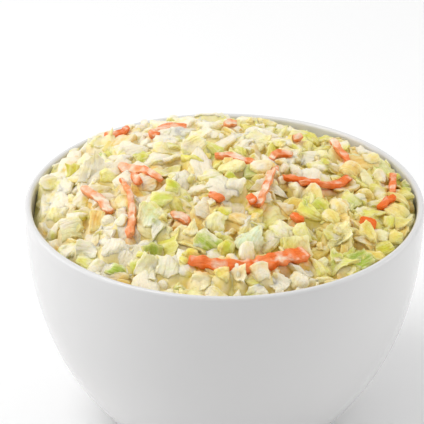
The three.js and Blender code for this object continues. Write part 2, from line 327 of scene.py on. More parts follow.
LEAVES = [
    (-37, 28, 40, 30, 9, 6, CREAM, PEAR, 0.5),
    (10, 24.5, 20, 18, 10.5, 8, CREAM, PEAR, 0.5),
    (-27, 16, 30, 30, 10, 7, CREAM, PEAR, 0.6),
    (-44.5, 12, 85, 50, 9, 4.5, LIME, PEAR, 0.2),
    (-24, 10.5, 20, 24, 8, 5, LIME, LEAF, 0.1),
    (53, 9, 20, 28, 4.5, 3.5, LEAF, LEAF, 0),
    (-37.5, 5, 80, 45, 12, 8, CREAM, IVORY, 0.6),
    (44.5, 0.5, 0, 24, 7.5, 5.5, PEAR, LIME, 0.1),
    (-3.5, -6, 30, 28, 8.5, 7.5, CREAM, LIME, 0.5),
    (-47, -10, 80, 45, 9, 6, CREAM, PEAR, 0.6),
    (3, -11, 60, 31, 8, 6, CREAM, PEAR, 0.6),
    (49.5, -14.5, 5, 24, 9, 5.5, IVORY, LIME, 0.1),
    (-20.5, -23.5, 70, 31, 9.5, 8.5, SAGE, PEAR, 0.4),
    (-2, -27, 80, 35, 11, 6, CREAM, LIME, 0.4),
    (31, -28, 15, 31, 9.5, 7.5, CREAM, LIME, 0.3),
    (15.5, -29, -52, 31, 9.5, 6.5, CREAM, PEAR, 0.5),
    (-38, -31, 0, 40, 10, 7, CREAM, SAGE, 0.7),
    (-30.5, -33, 70, 42, 9, 7.5, CREAM, IVORY, 0.7),
    (7, -33.5, 65, 35, 12, 8, SAGE, SAGE, 0.25),
    (37.5, -34, 40, 24, 9, 7, LEAF, LEAF, 0),
    (31, -37.5, 10, 31, 9.5, 8, PEAR, LEAF, 0.25),
    (-29.5, -41, -22, 31, 9, 5, LEAF, LEAF, 0.1),
    (-15.5, -41, 80, 31, 11, 8, CREAM, SAGE, 0.7),
    (-21, -42, 60, 40, 10, 8, CREAM, SAGE, 0.7),
    (-6, -47, 10, 38, 7.5, 6.5, BLUSH, IVORY, 0.5),
    (4, -48, 50, 38, 8, 6.5, BLUSH, CREAM, 0.6),
    (14.5, -47.5, -30, 38, 8, 6, BLUSH, IVORY, 0.5),
    (19.5, -46, 70, 36, 7, 6, BLUSH, CREAM, 0.4),
]
STRIPS = [
    (36, -8, -40, 28, 11, 4.5, PEAR, LEAF, 0.1),
    (27, -17, -48, 28, 9, 4, LIME, LEAF, 0),
    (-35.5, -20, 85, 31, 10, 4.5, GOLDEN, IVORY, 0.1),
    (23.5, -20.5, -42, 28, 11, 4.5, PEAR, LIME, 0.1),
    (29, -22, -40, 28, 10, 4, IVORY, LIME, 0.3),
    (21, -30, -72, 31, 9, 4.5, PEAR, LIME, 0.3),
]
FEATURES = {"chunks": CHUNKS, "leaves": LEAVES, "strips": STRIPS, "crumbs": []}


# ---- The forms that the CAD shares ----
def wall_radius(side, z):
    """Radius of the wall's outside or inside at a height above the table."""
    share = np.clip((BOWL_HEIGHT - z) / side.reach, 0, 1)
    return side.radius * (1 - share**side.bulge) ** (1 / side.curl) * (1 + side.flare * share)


def core_height(x, y):
    """Height above the table of the CAD's lumpy core."""
    share = np.minimum(np.hypot(x, y) / FILL_RADIUS, 1)
    heading = np.arctan2(y, x)
    bank = BANK_RISE * np.maximum(np.cos(heading - BANK_HEADING), 0)
    trough = TROUGH_DEPTH * np.maximum(np.cos(heading - TROUGH_HEADING), 0) ** 10
    dome = DOME_LEVEL * (1 - share**2) + (EDGE_LEVEL + bank) * share**2
    lumps = np.sin(x / 7.5 + 0.8) * np.cos(y / 6.8) + 0.6 * np.sin((x + 1.3 * y) / 5.1)
    return BOWL_HEIGHT + dome - trough * share**8 + lumps * (1 - 0.5 * share)


def cover_height(x, y):
    """Height above the table of the loose pieces' mean top."""
    share = np.minimum(np.hypot(x, y) / FILL_RADIUS, 1)
    headings, rises = zip(*WALL_RISES)
    rise = np.interp(np.degrees(np.arctan2(y, x)), headings, rises)
    clumps = CLUMPS * np.sin(0.36 * x + 0.2 * y + 1) * np.cos(0.33 * y - 0.14 * x)
    return core_height(x, y) + COVER + rise * share**4 + clumps * (1 - share**4)


def blended(start, end, share):
    return start + (end - start) * share


# ---- Meshes ----
def mesh_object(name, points, quads, triangles=(), attributes=None):
    """A smooth mesh object from millimetre points. An attribute has one value a point."""
    mesh = bpy.data.meshes.new(name)
    faces = [np.asarray(quads).reshape(-1, 4), np.asarray(triangles, int).reshape(-1, 3)]
    sizes = np.concatenate([np.full(len(f), f.shape[1]) for f in faces])
    corners = np.concatenate([f.ravel() for f in faces])
    mesh.vertices.add(len(points))
    mesh.vertices.foreach_set("co", (points * MM).ravel())
    mesh.loops.add(len(corners))
    mesh.loops.foreach_set("vertex_index", corners)
    mesh.polygons.add(len(sizes))
    mesh.polygons.foreach_set("loop_start", np.cumsum(sizes) - sizes)
    mesh.polygons.foreach_set("use_smooth", np.ones(len(sizes), bool))
    mesh.update(calc_edges=True)
    for key, values in (attributes or {}).items():
        kind, field = ("FLOAT", "value") if values.ndim == 1 else ("FLOAT_VECTOR", "vector")
        mesh.attributes.new(key, kind, "POINT").data.foreach_set(field, values.ravel())
    obj = bpy.data.objects.new(name, mesh)
    bpy.context.collection.objects.link(obj)
    return obj


def ring_quads(rows):
    """Quads between neighbouring closed rings of point numbers, one ring a row."""
    ahead = np.roll(rows, -1, axis=1)
    return np.stack([rows[:-1], ahead[:-1], ahead[1:], rows[1:]], axis=2).reshape(-1, 4)


def turned(name, rings, low, high, **attributes):
    """A closed object from rings of points, in order along its profile, and a pole at each end."""
    count = rings.shape[1]
    rows = np.arange(rings.shape[0] * count).reshape(-1, count)
    points = np.vstack([rings.reshape(-1, 3), low, high])
    start = np.column_stack([np.full(count, rows.size), np.roll(rows[0], -1), rows[0]])
    end = np.column_stack([np.full(count, rows.size + 1), rows[-1], np.roll(rows[-1], -1)])
    return mesh_object(name, points, ring_quads(rows), np.vstack([start, end]), attributes)


def facing_up(points, quads):
    """How far the surface faces up at each point, from -1 to 1."""
    corners = points[quads]
    across = np.cross(corners[:, 2] - corners[:, 0], corners[:, 3] - corners[:, 1])
    normals = np.zeros_like(points)
    for corner in quads.T:
        for axis in range(3):
            normals[:, axis] += np.bincount(corner, across[:, axis], len(points))
    return normals[:, 2] / np.maximum(np.linalg.norm(normals, axis=1), 1e-9)


def joined(name, pieces, heap, bleed=0.0):
    """One object of many pieces, with painted shade low down and coated where they face up.

    Bleed is how far the colours around a piece and the stain of the carrots run over it.
    """
    starts = np.cumsum([0] + [len(p.points) for p in pieces[:-1]])
    quads = np.vstack([p.quads + start for p, start in zip(pieces, starts)])
    points = np.vstack([p.points for p in pieces])
    up = np.clip(facing_up(points, quads), 0, 1)
    low = heap.lowness(points)
    tint = np.vstack([p.tint for p in pieces])
    around = heap.at(blurred(heap.tint, TINT_BLUR), points)
    tint = blended(tint, around, bleed * NEIGHBOUR_SHARE)
    stain = STAIN * bleed * heap.at(blurred(heap.stain, STAIN_BLUR), points)[:, None]
    tint = blended(tint, PEACH, np.minimum(stain, MOST_STAIN))
    # Coat thinned on the sides and deep down: partly dressing that runs off, partly painted warm
    # shade
    coat = np.concatenate([p.coat for p in pieces]) - OFF_SIDES * (1 - up) - OFF_LOW * low
    coat += FILM_CHANGE * bleed * ripple(points, np.random.default_rng(FILM_SEED), FILM_PITCH)
    # Painted shade: the tint is yellowed and darkened low in the heap
    attributes = {
        "tint": blended(tint, tint * JUICE_AND_LOW_SHADE, LOW_SHADE_SHARE * low[:, None]),
        "coat": coat,
        "grain": np.vstack([p.grain for p in pieces]),
    }
    return mesh_object(name, points, quads, attributes=attributes)


# ---- Bowl ----
def bowl_profile():
    """Radii and heights from inside the foot ring, up, over the lip and down to the floor."""
    foot_inside = FOOT_RADIUS - FOOT_WIDTH
    lip = LIP_THICKNESS / 2
    lip_radius, lip_height = RIM_RADIUS - lip, BOWL_HEIGHT - lip
    profile = [(foot_inside * 0.5, RECESS_DEPTH), (foot_inside - FOOT_EDGE, RECESS_DEPTH)]
    profile += [(foot_inside - 0.15, 0.25), (foot_inside + 0.15, 0)]
    profile += [(FOOT_RADIUS - FOOT_EDGE, 0), (FOOT_RADIUS - 0.2, 0.15)]
    profile += [(FOOT_RADIUS, FOOT_EDGE), (FOOT_RADIUS, FOOT_HEIGHT * 0.8)]
    profile += [(FOOT_RADIUS + 0.5, FOOT_HEIGHT + 0.1)]
    low = FOOT_HEIGHT + FOOT_EDGE
    for share in np.linspace(0, 1, WALL_STEPS) ** 1.4:
        z = blended(low, lip_height, share)
        profile.append((wall_radius(OUTSIDE, z), z))
    for angle in np.linspace(0, math.pi, LIP_STEPS)[1:]:
        profile.append((lip_radius + lip * math.cos(angle), lip_height + lip * math.sin(angle)))
    for share in np.linspace(1, 0, WALL_STEPS)[1:-1] ** 1.6:
        z = blended(FLOOR_THICKNESS, lip_height, share)
        profile.append((wall_radius(INSIDE, z), z))
    return np.array(profile)


def ring_points(radii, heights, segments):
    """Rings about the axis, one for each radius, at one height or at each point's own."""
    angles = np.arange(segments) * math.tau / segments
    x = np.outer(radii, np.cos(angles))
    y = np.outer(radii, np.sin(angles))
    z = np.broadcast_to(np.reshape(heights, (len(radii), -1)), x.shape)
    return np.stack([x, y, z], axis=2)


def make_bowl():
    profile = bowl_profile()
    rings = ring_points(profile[:, 0], profile[:, 1], BOWL_SEGMENTS)
    return turned("porcelain_bowl", rings, (0, 0, RECESS_DEPTH), (0, 0, FLOOR_THICKNESS))


# ---- Forms of the pieces ----
def slab(steps, levels):
    """Points and quads of a box of half size 1, cut at the steps across and the levels up."""
    grids = (steps, steps, levels)
    faces, quads, count = [], [], 0
    for axis in range(3):
        u, v = np.meshgrid(grids[(axis + 1) % 3], grids[(axis + 2) % 3], indexing="ij")
        index = np.arange(u.size).reshape(u.shape)
        quad = np.stack([index[:-1, :-1], index[1:, :-1], index[1:, 1:], index[:-1, 1:]], axis=2)
        quad = quad.reshape(-1, 4)
        for side in (1, -1):
            face = np.empty((u.size, 3))
            face[:, axis] = side
            face[:, (axis + 1) % 3] = u.ravel()
            face[:, (axis + 2) % 3] = v.ravel()
            quads.append((quad if side > 0 else quad[:, ::-1]) + count)
            faces.append(face)
            count += u.size
    points, inverse = np.unique(np.vstack(faces), axis=0, return_inverse=True)
    return points, inverse.reshape(-1)[np.vstack(quads)]


def ripple(points, rng, pitch):
    """A smooth random value of about [-1, 1] at each point, in waves of about one pitch."""
    total = np.zeros(len(points))
    for _ in range(4):
        wave = rng.normal(size=3)
        wave *= math.tau / (pitch * rng.uniform(0.7, 1.5)) / np.linalg.norm(wave)
        total += np.sin(points @ wave + rng.uniform(0, math.tau))
    return total / 2.5


def polygon(angles, corners, reach):
    """Radius at each angle of the straight-sided polygon through the corners."""
    corners = np.append(corners, corners[0] + math.tau)
    reach = np.append(reach, reach[0])
    turn = (angles - corners[0]) % math.tau + corners[0]
    side = np.clip(np.searchsorted(corners, turn, side="right") - 1, 0, len(corners) - 2)
    start, end = corners[side], corners[side + 1]
    near, far = reach[side], reach[side + 1]
    across = near * np.sin(turn - start) + far * np.sin(end - turn)
    return near * far * np.sin(end - start) / across


def cut_corners(half, rng):
    """Headings of a piece's three to five corners, and how far out they lie."""
    count = rng.choice(CORNER_COUNTS, p=CORNER_ODDS)
    spacing = math.tau / count
    shift = rng.uniform(-CORNER_SHIFT, CORNER_SHIFT, count)
    corners = (np.arange(count) + 0.5 + shift) * spacing - math.pi
    reach = CORNER_REACH / np.hypot(np.cos(corners) / half[0], np.sin(corners) / half[1])
    return corners, reach * rng.uniform(*REACH_RANGE, count)


def steered(box, share, corners):
    """Headings of the box's points, changed so that points of its rim fall on the corners."""
    headings = np.arctan2(box[:, 1], box[:, 0])
    rim = np.unique(headings[share == 1])
    nearest = rim[np.abs(rim[:, None] - corners).argmin(axis=0)]
    turns = np.array([[-math.tau], [0], [math.tau]])
    return np.interp(headings, (nearest + turns).ravel(), (corners + turns).ravel())


def cut_outline(box, share, edge, half, rng):
    """The box's points in plan, with its rim on a ragged line between an oval and a polygon."""
    corners, reach = cut_corners(half, rng)
    heading = steered(box, share, corners)
    oval = 1 / np.hypot(np.cos(heading) / half[0], np.sin(heading) / half[1])
    straight = rng.uniform(*STRAIGHTNESS)
    radius = straight * polygon(heading, corners, reach) + (1 - straight) * oval
    radius *= share * (1 - WORN_IN * edge)
    counts = [rng.integers(fewest, most) for fewest, most, _ in RAGGED]
    for count, (_, _, amount) in zip(counts, RAGGED):
        radius *= 1 + amount * share * np.sin(heading * count + rng.uniform(0, 6))
    return radius * np.cos(heading), radius * np.sin(heading)


def bent(cut, flat, share, half, rng):
    """The points of a flat piece, bent about a line across it, cupped, waved, bowed and rough."""
    points = flat.copy()
    u, v = flat[:, 0] / half[0], flat[:, 1] / half[1]
    fold = rng.uniform(-FOLD, FOLD)
    along = (flat[:, 0] * math.cos(fold) + flat[:, 1] * math.sin(fold)) / half[0]
    bend = cut.bend * rng.uniform(*BEND_RANGE) * rng.choice((-1, 1), p=HOLLOW_ODDS)
    points[:, 2] += bend * (along**2 - 0.3) + 0.4 * bend * rng.uniform(0, 1) * v**2
    points[:, 2] += cut.wave * rng.uniform(-1, 1) * u * v
    points[:, 2] += 0.3 * cut.wave * np.sin(rng.uniform(3, 6) * v + rng.uniform(0, 6)) * u
    points[:, 2] += 0.35 * cut.wave * share**2 * ripple(flat, rng, 4.0)
    points[:, 1] += cut.bow * rng.uniform(-1, 1) * (u**2 - 0.3)
    for axis, amount in enumerate(ROUGHNESS):
        points[:, axis] += amount * ripple(flat, rng, ROUGH_PITCH)
    return points


def cut_piece(cut, box, quads, rng):
    """The form of a piece of leaf or rib, from the points and quads of a box."""
    half = np.array([rng.uniform(*cut.length), rng.uniform(*cut.width)]) / 2
    thick = rng.uniform(*cut.thick) / 2
    share = np.abs(box[:, :2]).max(axis=1)
    edge = (share * np.abs(box[:, 2])) ** 6
    x, y = cut_outline(box, share, edge, half, rng)
    thinning = [rng.uniform(-most, most) for most in WEDGE]
    wedge = 1 + thinning[0] * (x / half[0]) + thinning[1] * (y / half[1])
    height = thick * box[:, 2] * (1 - WORN_THIN * edge) * np.maximum(wedge, THINNEST)
    flat = np.stack([x, y, height], axis=1)
    return Form(bent(cut, flat, share, half, rng), quads, flat, edge)


def turn_matrix(axis, angle):
    """Rotation by an angle about a unit axis."""
    x, y, z = axis
    cross = np.array([[0, -z, y], [z, 0, -x], [-y, x, 0]])
    return np.eye(3) + math.sin(angle) * cross + (1 - math.cos(angle)) * cross @ cross


def lie(x, y, heading, lean, tilt):
    """A rotation that turns and tilts a piece, slopes it with the heap and leans it to the camera."""
    rise_x = core_height(x + SLOPE_STEP, y) - core_height(x - SLOPE_STEP, y)
    rise_y = core_height(x, y + SLOPE_STEP) - core_height(x, y - SLOPE_STEP)
    slope_x, slope_y = rise_x / (2 * SLOPE_STEP), rise_y / (2 * SLOPE_STEP)
    slope = math.hypot(slope_x, slope_y)
    level = (slope_y / max(slope, 1e-6), -slope_x / max(slope, 1e-6), 0.0)
    matrix = turn_matrix((0, 0, 1), heading)
    matrix = turn_matrix((math.cos(lean), math.sin(lean), 0), tilt) @ matrix
    matrix = turn_matrix(level, math.atan(slope)) @ matrix
    front = np.clip(MIDDLE_FACING - y / FACING_REACH, 0, 1) + LEFT_FACING * max(0, -x)
    return turn_matrix((1, 0, 0), FACING * front) @ matrix


# ---- The heap ----
def blurred(grid, passes):
    for _ in range(passes):
        for axis in (0, 1):
            grid = (np.roll(grid, 1, axis) + 2 * grid + np.roll(grid, -1, axis)) / 4
    return grid


class Heap:
    """The top of the heap so far, as a grid of heights on which pieces are laid."""

    def __init__(self):
        self.low = -INSIDE.radius - GRID_MARGIN
        self.count = int(-2 * self.low / CELL) + 1
        axis = self.low + np.arange(self.count) * CELL
        self.x, self.y = np.meshgrid(axis, axis, indexing="ij")
        self.height = cover_height(self.x, self.y) - BED
        self.tint = np.tile(IVORY, (self.count, self.count, 1))
        self.kept_clear = np.zeros_like(self.height, bool)
        self.stain = np.zeros_like(self.height)

    def cells(self, points):
        index = np.rint((points[..., :2] - self.low) / CELL).astype(int)
        index = np.clip(index, 0, self.count - 1)
        return index[..., 0], index[..., 1]

    def settled(self, points, clear_percent):
        """The points of a piece moved up or down until that percentage clears the heap."""
        lift = np.percentile(self.height[self.cells(points)] - points[:, 2], clear_percent)
        return clear_of_wall(points + (0, 0, lift), WALL_GAP)

    def cover(self, quads, points, tint):
        """Raises the grid under the faces of a piece, and gives it the piece's tint."""
        corners, colours = points[quads], tint[quads]
        for s in FACE_SAMPLES:
            for t in FACE_SAMPLES:
                weights = np.array([(1 - s) * (1 - t), s * (1 - t), s * t, (1 - s) * t])
                samples = np.einsum("qci,c->qi", corners, weights)
                cells = self.cells(samples)
                np.maximum.at(self.height, cells, samples[:, 2])
                top = samples[:, 2] >= self.height[cells] - 1e-6
                shown = np.einsum("qci,c->qi", colours, weights)[top]
                self.tint[cells[0][top], cells[1][top]] = shown

    def lowness(self, points):
        """0 where a point stands out of the finished heap, to 1 where it lies deep in it."""
        mean = self.at(blurred(self.height, 8), points)
        return np.clip((mean - points[:, 2]) / DEEP, 0, 1)

    def at(self, grid, points):
        """Values of a grid at the points, blended between its cells."""
        place = np.clip((points[..., :2] - self.low) / CELL, 0, self.count - 1.001)
        low = place.astype(int)
        i, j = low[..., 0], low[..., 1]
        extra = (1,) * (grid.ndim - 2)
        s = (place[..., 0] - i).reshape(*i.shape, *extra)
        t = (place[..., 1] - j).reshape(*i.shape, *extra)
        near = grid[i, j] * (1 - s) + grid[i + 1, j] * s
        far = grid[i, j + 1] * (1 - s) + grid[i + 1, j + 1] * s
        return near * (1 - t) + far * t


def clear_of_wall(points, gap):
    """The points of a piece, moved towards the axis until they are clear of the porcelain."""
    radius = np.hypot(points[:, 0], points[:, 1])
    excess = radius - (wall_radius(INSIDE, points[:, 2]) - gap)
    worst = int(np.argmax(excess))
    if excess[worst] <= 0:
        return points
    push = -points[worst] * excess[worst] / radius[worst]
    return points + (push[0], push[1], 0)


def stands_out(points):
    """Whether a piece stands too high over the cover."""
    x, y, z = points.T
    return (z - cover_height(x, y)).max() > HIGHEST


def find_place(heap, cut, form, rng):
    """Tries a few places and settles the piece where it lies lowest. None if all are full."""
    best, least = None, FULL
    for _ in range(PLACES_TRIED):
        radius = FILL_RADIUS * math.sqrt(rng.uniform())
        angle = rng.uniform(0, math.tau)
        x, y = radius * math.cos(angle), radius * math.sin(angle)
        heading, lean = rng.uniform(0, math.tau, 2)
        matrix = lie(x, y, heading, lean, abs(rng.normal()) * cut.tilt)
        size = MIDDLE_SIZE - SIZE_TO_LEFT * x + SIZE_TO_BACK * y
        points = size * form.points @ matrix.T + (x, y, core_height(x, y))
        points = clear_of_wall(points, FIRST_WALL_GAP)
        if heap.kept_clear[heap.cells(points)].mean() > MOST_OVER_CARROT:
            continue
        points = heap.settled(points, CLEAR_PERCENT)
        x, y, z = points.mean(axis=0)
        over = z - cover_height(x, y) + rng.uniform(-LUCK, LUCK)
        if over < least and not stands_out(points):
            best, least = points, over
    return best


def painted(form, paint, rng):
    """Tint of each point of a piece: with rind at one end, and a painted highlight along its sharp
    edges.
    """
    heading = rng.uniform(0, math.tau)
    along = form.flat[:, 0] * math.cos(heading) + form.flat[:, 1] * math.sin(heading)
    along = 0.5 + 0.5 * along / np.abs(along).max()
    along += RIND_MOTTLE * ripple(form.flat, rng, RIND_PITCH)
    share = np.clip(paint.reach * np.clip(along, 0, 1) ** 1.5, 0, 1)
    tint = blended(paint.face, paint.rind, share[:, None])
    # Painted highlight: paler along the sharp edges
    tint = blended(tint, CREAM, (EDGE_HIGHLIGHT * form.edge)[:, None])
    return np.minimum(tint, BRIGHTEST)


def chance_paint(cut, points, rng):
    """Colours for a piece, greener and barer towards the right, with painted light at the back."""
    x, y, _ = points.mean(axis=0)
    green = MIDDLE_GREEN + GREEN_TO_RIGHT * x
    odds = np.append(PALE_ODDS, GREEN_ODDS * green)
    face = FACES[rng.choice(len(FACES), p=odds / odds.sum())] * rng.uniform(*BRIGHTNESS)
    rind = blended(LIME, LEAF, rng.uniform(0, 1))
    reach = cut.rind * rng.beta(*RIND_SHAPE) * (0.5 + green)
    coat = rng.choice(COATS, p=COAT_ODDS) + rng.normal(0, COAT_SPREAD)
    # More coat towards the back is painted light there
    coat += BACK_LIGHT_COAT * max(0.0, y - BACK_START) - COAT_TO_LEFT * x
    return Paint(face, rind, reach, np.clip(coat, 0, 1))


def laid(heap, points, form, paint, rng):
    """A piece at its place, painted, with the heap raised under it."""
    tint = painted(form, paint, rng)
    heap.cover(form.quads, points, tint)
    return Piece(points, form.quads, tint, np.full(len(points), paint.coat), form.flat)


def lay_cabbage(heap, share, templates, rng):
    """Lays a share of every cut, mixed. Returns the pieces of each cut."""
    pieces = {cut.name: [] for cut in CUTS}
    draw = [cut for cut in CUTS for _ in range(int(cut.count * share))]
    for i in rng.permutation(len(draw)):
        cut = draw[i]
        form = cut_piece(cut, *templates[cut.name], rng)
        points = find_place(heap, cut, form, rng)
        if points is not None:
            paint = chance_paint(cut, points, rng)
            pieces[cut.name].append(laid(heap, points, form, paint, rng))
    return pieces


def lay_features(heap, templates, rng):
    """Lays the pieces that stand out. Returns the pieces of each cut."""
    pieces = {cut.name: [] for cut in CUTS}
    for cut in CUTS:
        for feature in (Feature(*row) for row in FEATURES[cut.name]):
            size = cut._replace(length=[feature.length] * 2, width=[feature.width] * 2)
            form = cut_piece(size, *templates[cut.name], rng)
            matrix = turn_matrix((1, 0, 0), math.radians(feature.tilt))
            matrix = matrix @ turn_matrix((0, 0, 1), math.radians(feature.heading))
            level = core_height(feature.x, feature.y)
            points = form.points @ matrix.T + (feature.x, feature.y, level)
            points = clear_of_wall(points, FIRST_WALL_GAP)
            points = heap.settled(points, FEATURE_CLEAR_PERCENT)
            paint = Paint(feature.face, feature.rind, FEATURE_REACH, feature.coat)
            pieces[cut.name].append(laid(heap, points, form, paint, rng))
    return pieces


def in_sight(heap, piece):
    """Whether any of a piece comes near the top of the finished heap."""
    over = piece.points[:, 2] - heap.height[heap.cells(piece.points)]
    return over.max() > -SIGHT_DEPTH


# ---- Carrot shreds ----
def smoothed(values, passes):
    for _ in range(passes):
        padded = np.concatenate([values[:1], values, values[-1:]])
        values = (padded[:-2] + 2 * padded[1:-1] + padded[2:]) / 4
    return values


def softly_square(share):
    return np.sign(share) * np.abs(share) ** SQUARENESS


def shred_path(heap, shred, u, rng):
    """The middle line of a shred, laid on the heap."""
    heading = math.radians(shred.heading)
    ahead = np.array([math.cos(heading), math.sin(heading)])
    aside = np.array([-ahead[1], ahead[0]])
    across = shred.bow * (u**2 - 0.5)
    across += WANDER * np.sin(u * rng.uniform(2, 5) + rng.uniform(0, 6))
    plan = (shred.x, shred.y) + np.outer(shred.length / 2 * u, ahead)
    plan += np.outer(across, aside)
    reach = (FILL_RADIUS - SHRED_WALL_GAP) / np.hypot(plan[:, 0], plan[:, 1])
    plan *= np.minimum(1, reach)[:, None]
    under = [heap.height[heap.cells(plan + track * aside)] for track in SHRED_TRACKS]
    under = np.max(under, axis=0)
    z = smoothed(under, SHRED_SMOOTHING)
    z += max(0, np.median(under - z)) + CARROT_THICKNESS * SHRED_LIFT
    return np.column_stack([plan, z])


def shred_sections(shred, u, rng):
    """Places of a shred's points across and above its middle line, and in the straight shred."""
    taper = 1 - rng.uniform(*TAPER_RANGE) * np.abs(u) ** rng.uniform(*TAPER_POWERS)
    lean = SHRED_FACING * math.cos(math.radians(shred.heading))
    lean += rng.uniform(-LEAN_SPREAD, LEAN_SPREAD)
    twist = (lean + rng.uniform(-TWIST, TWIST) * u)[:, None]
    angles = np.arange(SHRED_SIDES) * math.tau / SHRED_SIDES
    widths = taper * (1 + shred.growth * u)
    wide = np.outer(widths, softly_square(np.cos(angles))) * shred.width / 2
    high = np.outer(taper, softly_square(np.sin(angles))) * CARROT_THICKNESS / 2
    lengths = np.repeat(u * shred.length / 2, SHRED_SIDES)
    grain = np.stack([lengths, wide.ravel(), high.ravel()], axis=1)
    wide *= 1 + WIDE_ROUGHNESS * ripple(grain, rng, WIDE_PITCH).reshape(wide.shape)
    high *= 1 + HIGH_ROUGHNESS * ripple(grain, rng, HIGH_PITCH).reshape(high.shape)
    across = wide * np.cos(twist) - high * np.sin(twist)
    above = wide * np.sin(twist) + high * np.cos(twist)
    return across, above, grain


def shred_quads(count):
    """Faces of a shred: the rings between its sections, and a strip of quads over each end."""
    rows = np.arange(count * SHRED_SIDES).reshape(count, SHRED_SIDES)
    ends = []
    for row in (rows[0][::-1], rows[-1]):
        for i in range(SHRED_SIDES // 2 - 1):
            ends.append((row[i], row[i + 1], row[-i - 2], row[-i - 1]))
    return np.vstack([ring_quads(rows), ends])


def carrot(heap, shred, rng):
    """A grated shred, laid along the heap. It marks what it stains and what stays clear."""
    count = max(7, int(shred.length / SHRED_STEP))
    u = np.linspace(-1, 1, count)
    path = shred_path(heap, shred, u, rng)
    tangent = np.gradient(path, axis=0)
    tangent /= np.linalg.norm(tangent, axis=1, keepdims=True)
    side = np.cross((0, 0, 1), tangent)
    side /= np.linalg.norm(side, axis=1, keepdims=True)
    up = np.cross(tangent, side)
    across, above, grain = shred_sections(shred, u, rng)
    points = path[:, None] + across[..., None] * side[:, None] + above[..., None] * up[:, None]
    points = points.reshape(-1, 3)
    points += 0.1 * ripple(points, rng, 3.0)[:, None] * rng.normal(size=3)
    points = clear_of_wall(points, WALL_GAP)
    quads = shred_quads(count)
    coat = np.clip(shred.coat + CARROT_MOTTLE * ripple(points, rng, CARROT_PITCH), 0, 1)
    tint = blended(CARROT, SALMON, coat[:, None] ** SALMON_POWER)
    heap.cover(quads, points, tint)
    heap.stain[heap.cells(points)] = 1
    middle = points[np.repeat(np.abs(u) < CLEAR_HALF, SHRED_SIDES)]
    for track in CLEAR_TRACKS:
        heap.kept_clear[heap.cells(middle + (0, track, 0))] = True
    return Piece(points, quads, tint, CARROT_FILM[0] * coat + CARROT_FILM[1], grain)


# ---- Dressing ----
def dressing_level(heap):
    """Height of the dressing over the grid: high in places, low where grooves stay open."""
    x, y = heap.x, heap.y
    by_wall = np.hypot(x, y) > FILL_RADIUS - WALL_BAND
    height = heap.height - CARROT_THICKNESS * heap.stain
    height = np.where(by_wall, np.maximum(height, cover_height(x, y) - WALL_DROP), height)
    spots = np.stack([x.ravel(), y.ravel(), 0 * x.ravel()], axis=1)
    patches = ripple(spots, np.random.default_rng(GROOVE_SEED), GROOVE_PITCH).reshape(x.shape)
    depth = GROOVE_DEPTH + GROOVE_CHANGE * patches + GROOVE_TO_RIGHT * x
    depth = depth - np.where(y > 0, GROOVE_OFF_BACK, GROOVE_TO_FRONT) * y
    return blurred(height, 3) - np.clip(depth, *GROOVE_RANGE)


def dressing_tint(heap, points):
    """The colours around, greener by the wall, whiter to the left, yellowed, and with painted shade
    low down.
    """
    x, y = points[:, :1], points[:, 1:2]
    tint = blended(heap.at(blurred(heap.tint, 2), points), PEAR, DRESSING_GREEN)
    tint = blended(tint, DRESSING, np.clip(WHITE_MIDDLE - WHITE_TO_LEFT * x, *WHITE_RANGE))
    by_wall = np.clip((np.hypot(x, y) - FILL_RADIUS) / GREEN_BAND + 1, 0, 1)
    tint = blended(tint, LIME, GREEN_BY_WALL * by_wall)
    # Painted shade: yellower and darker where the dressing lies low
    return blended(tint, tint * JUICE_AND_LOW_SHADE, JUICE_FLAT + LOW_SHADE_DEEP * heap.lowness(points)[:, None])


def make_dressing(heap, level):
    """The dressed mass that fills the bowl, up to the grooves between the loose pieces."""
    radii = np.linspace(0, INSIDE.radius, DRESSING_RINGS + 1)[:0:-1]
    top = ring_points(radii, np.zeros(DRESSING_RINGS), DRESSING_SEGMENTS)
    top[..., 2] = heap.at(level, top)
    reach = (wall_radius(INSIDE, top[..., 2]) - SKIN_GAP) / np.hypot(top[..., 0], top[..., 1])
    top[..., :2] *= np.minimum(1, reach)[..., None]
    shares = np.linspace(0, 1, SIDE_STEPS)[1:] ** 1.6
    heights = FLOOR_THICKNESS + GAP + (SHOULDER - FLOOR_THICKNESS) * shares
    side_radii = wall_radius(INSIDE, heights) - SKIN_GAP
    rings = np.vstack([ring_points(side_radii, heights, DRESSING_SEGMENTS), top])
    floor = (0, 0, FLOOR_THICKNESS + GAP)
    peak = (0, 0, top[-1, :, 2].mean())
    points = np.vstack([rings.reshape(-1, 3), floor, peak])
    return turned("dressing", rings, floor, peak, tint=dressing_tint(heap, points))


# ---- Materials ----
FIBRE_STRETCH = (0.12, 1, 1)  # so that the fibres run along a piece
GLAZE_DARK, GLAZE_PALE = (0.655, 0.651, 0.651), (0.685, 0.681, 0.677)
FLOOR_DARK, FLOOR_PALE = (0.86, 0.86, 0.86), (0.90, 0.90, 0.90)
CABBAGE_GLOW = (1, 0.85, 0.6)  # how far red, green and blue light go under the surface
CARROT_GLOW = (1, 0.6, 0.4)


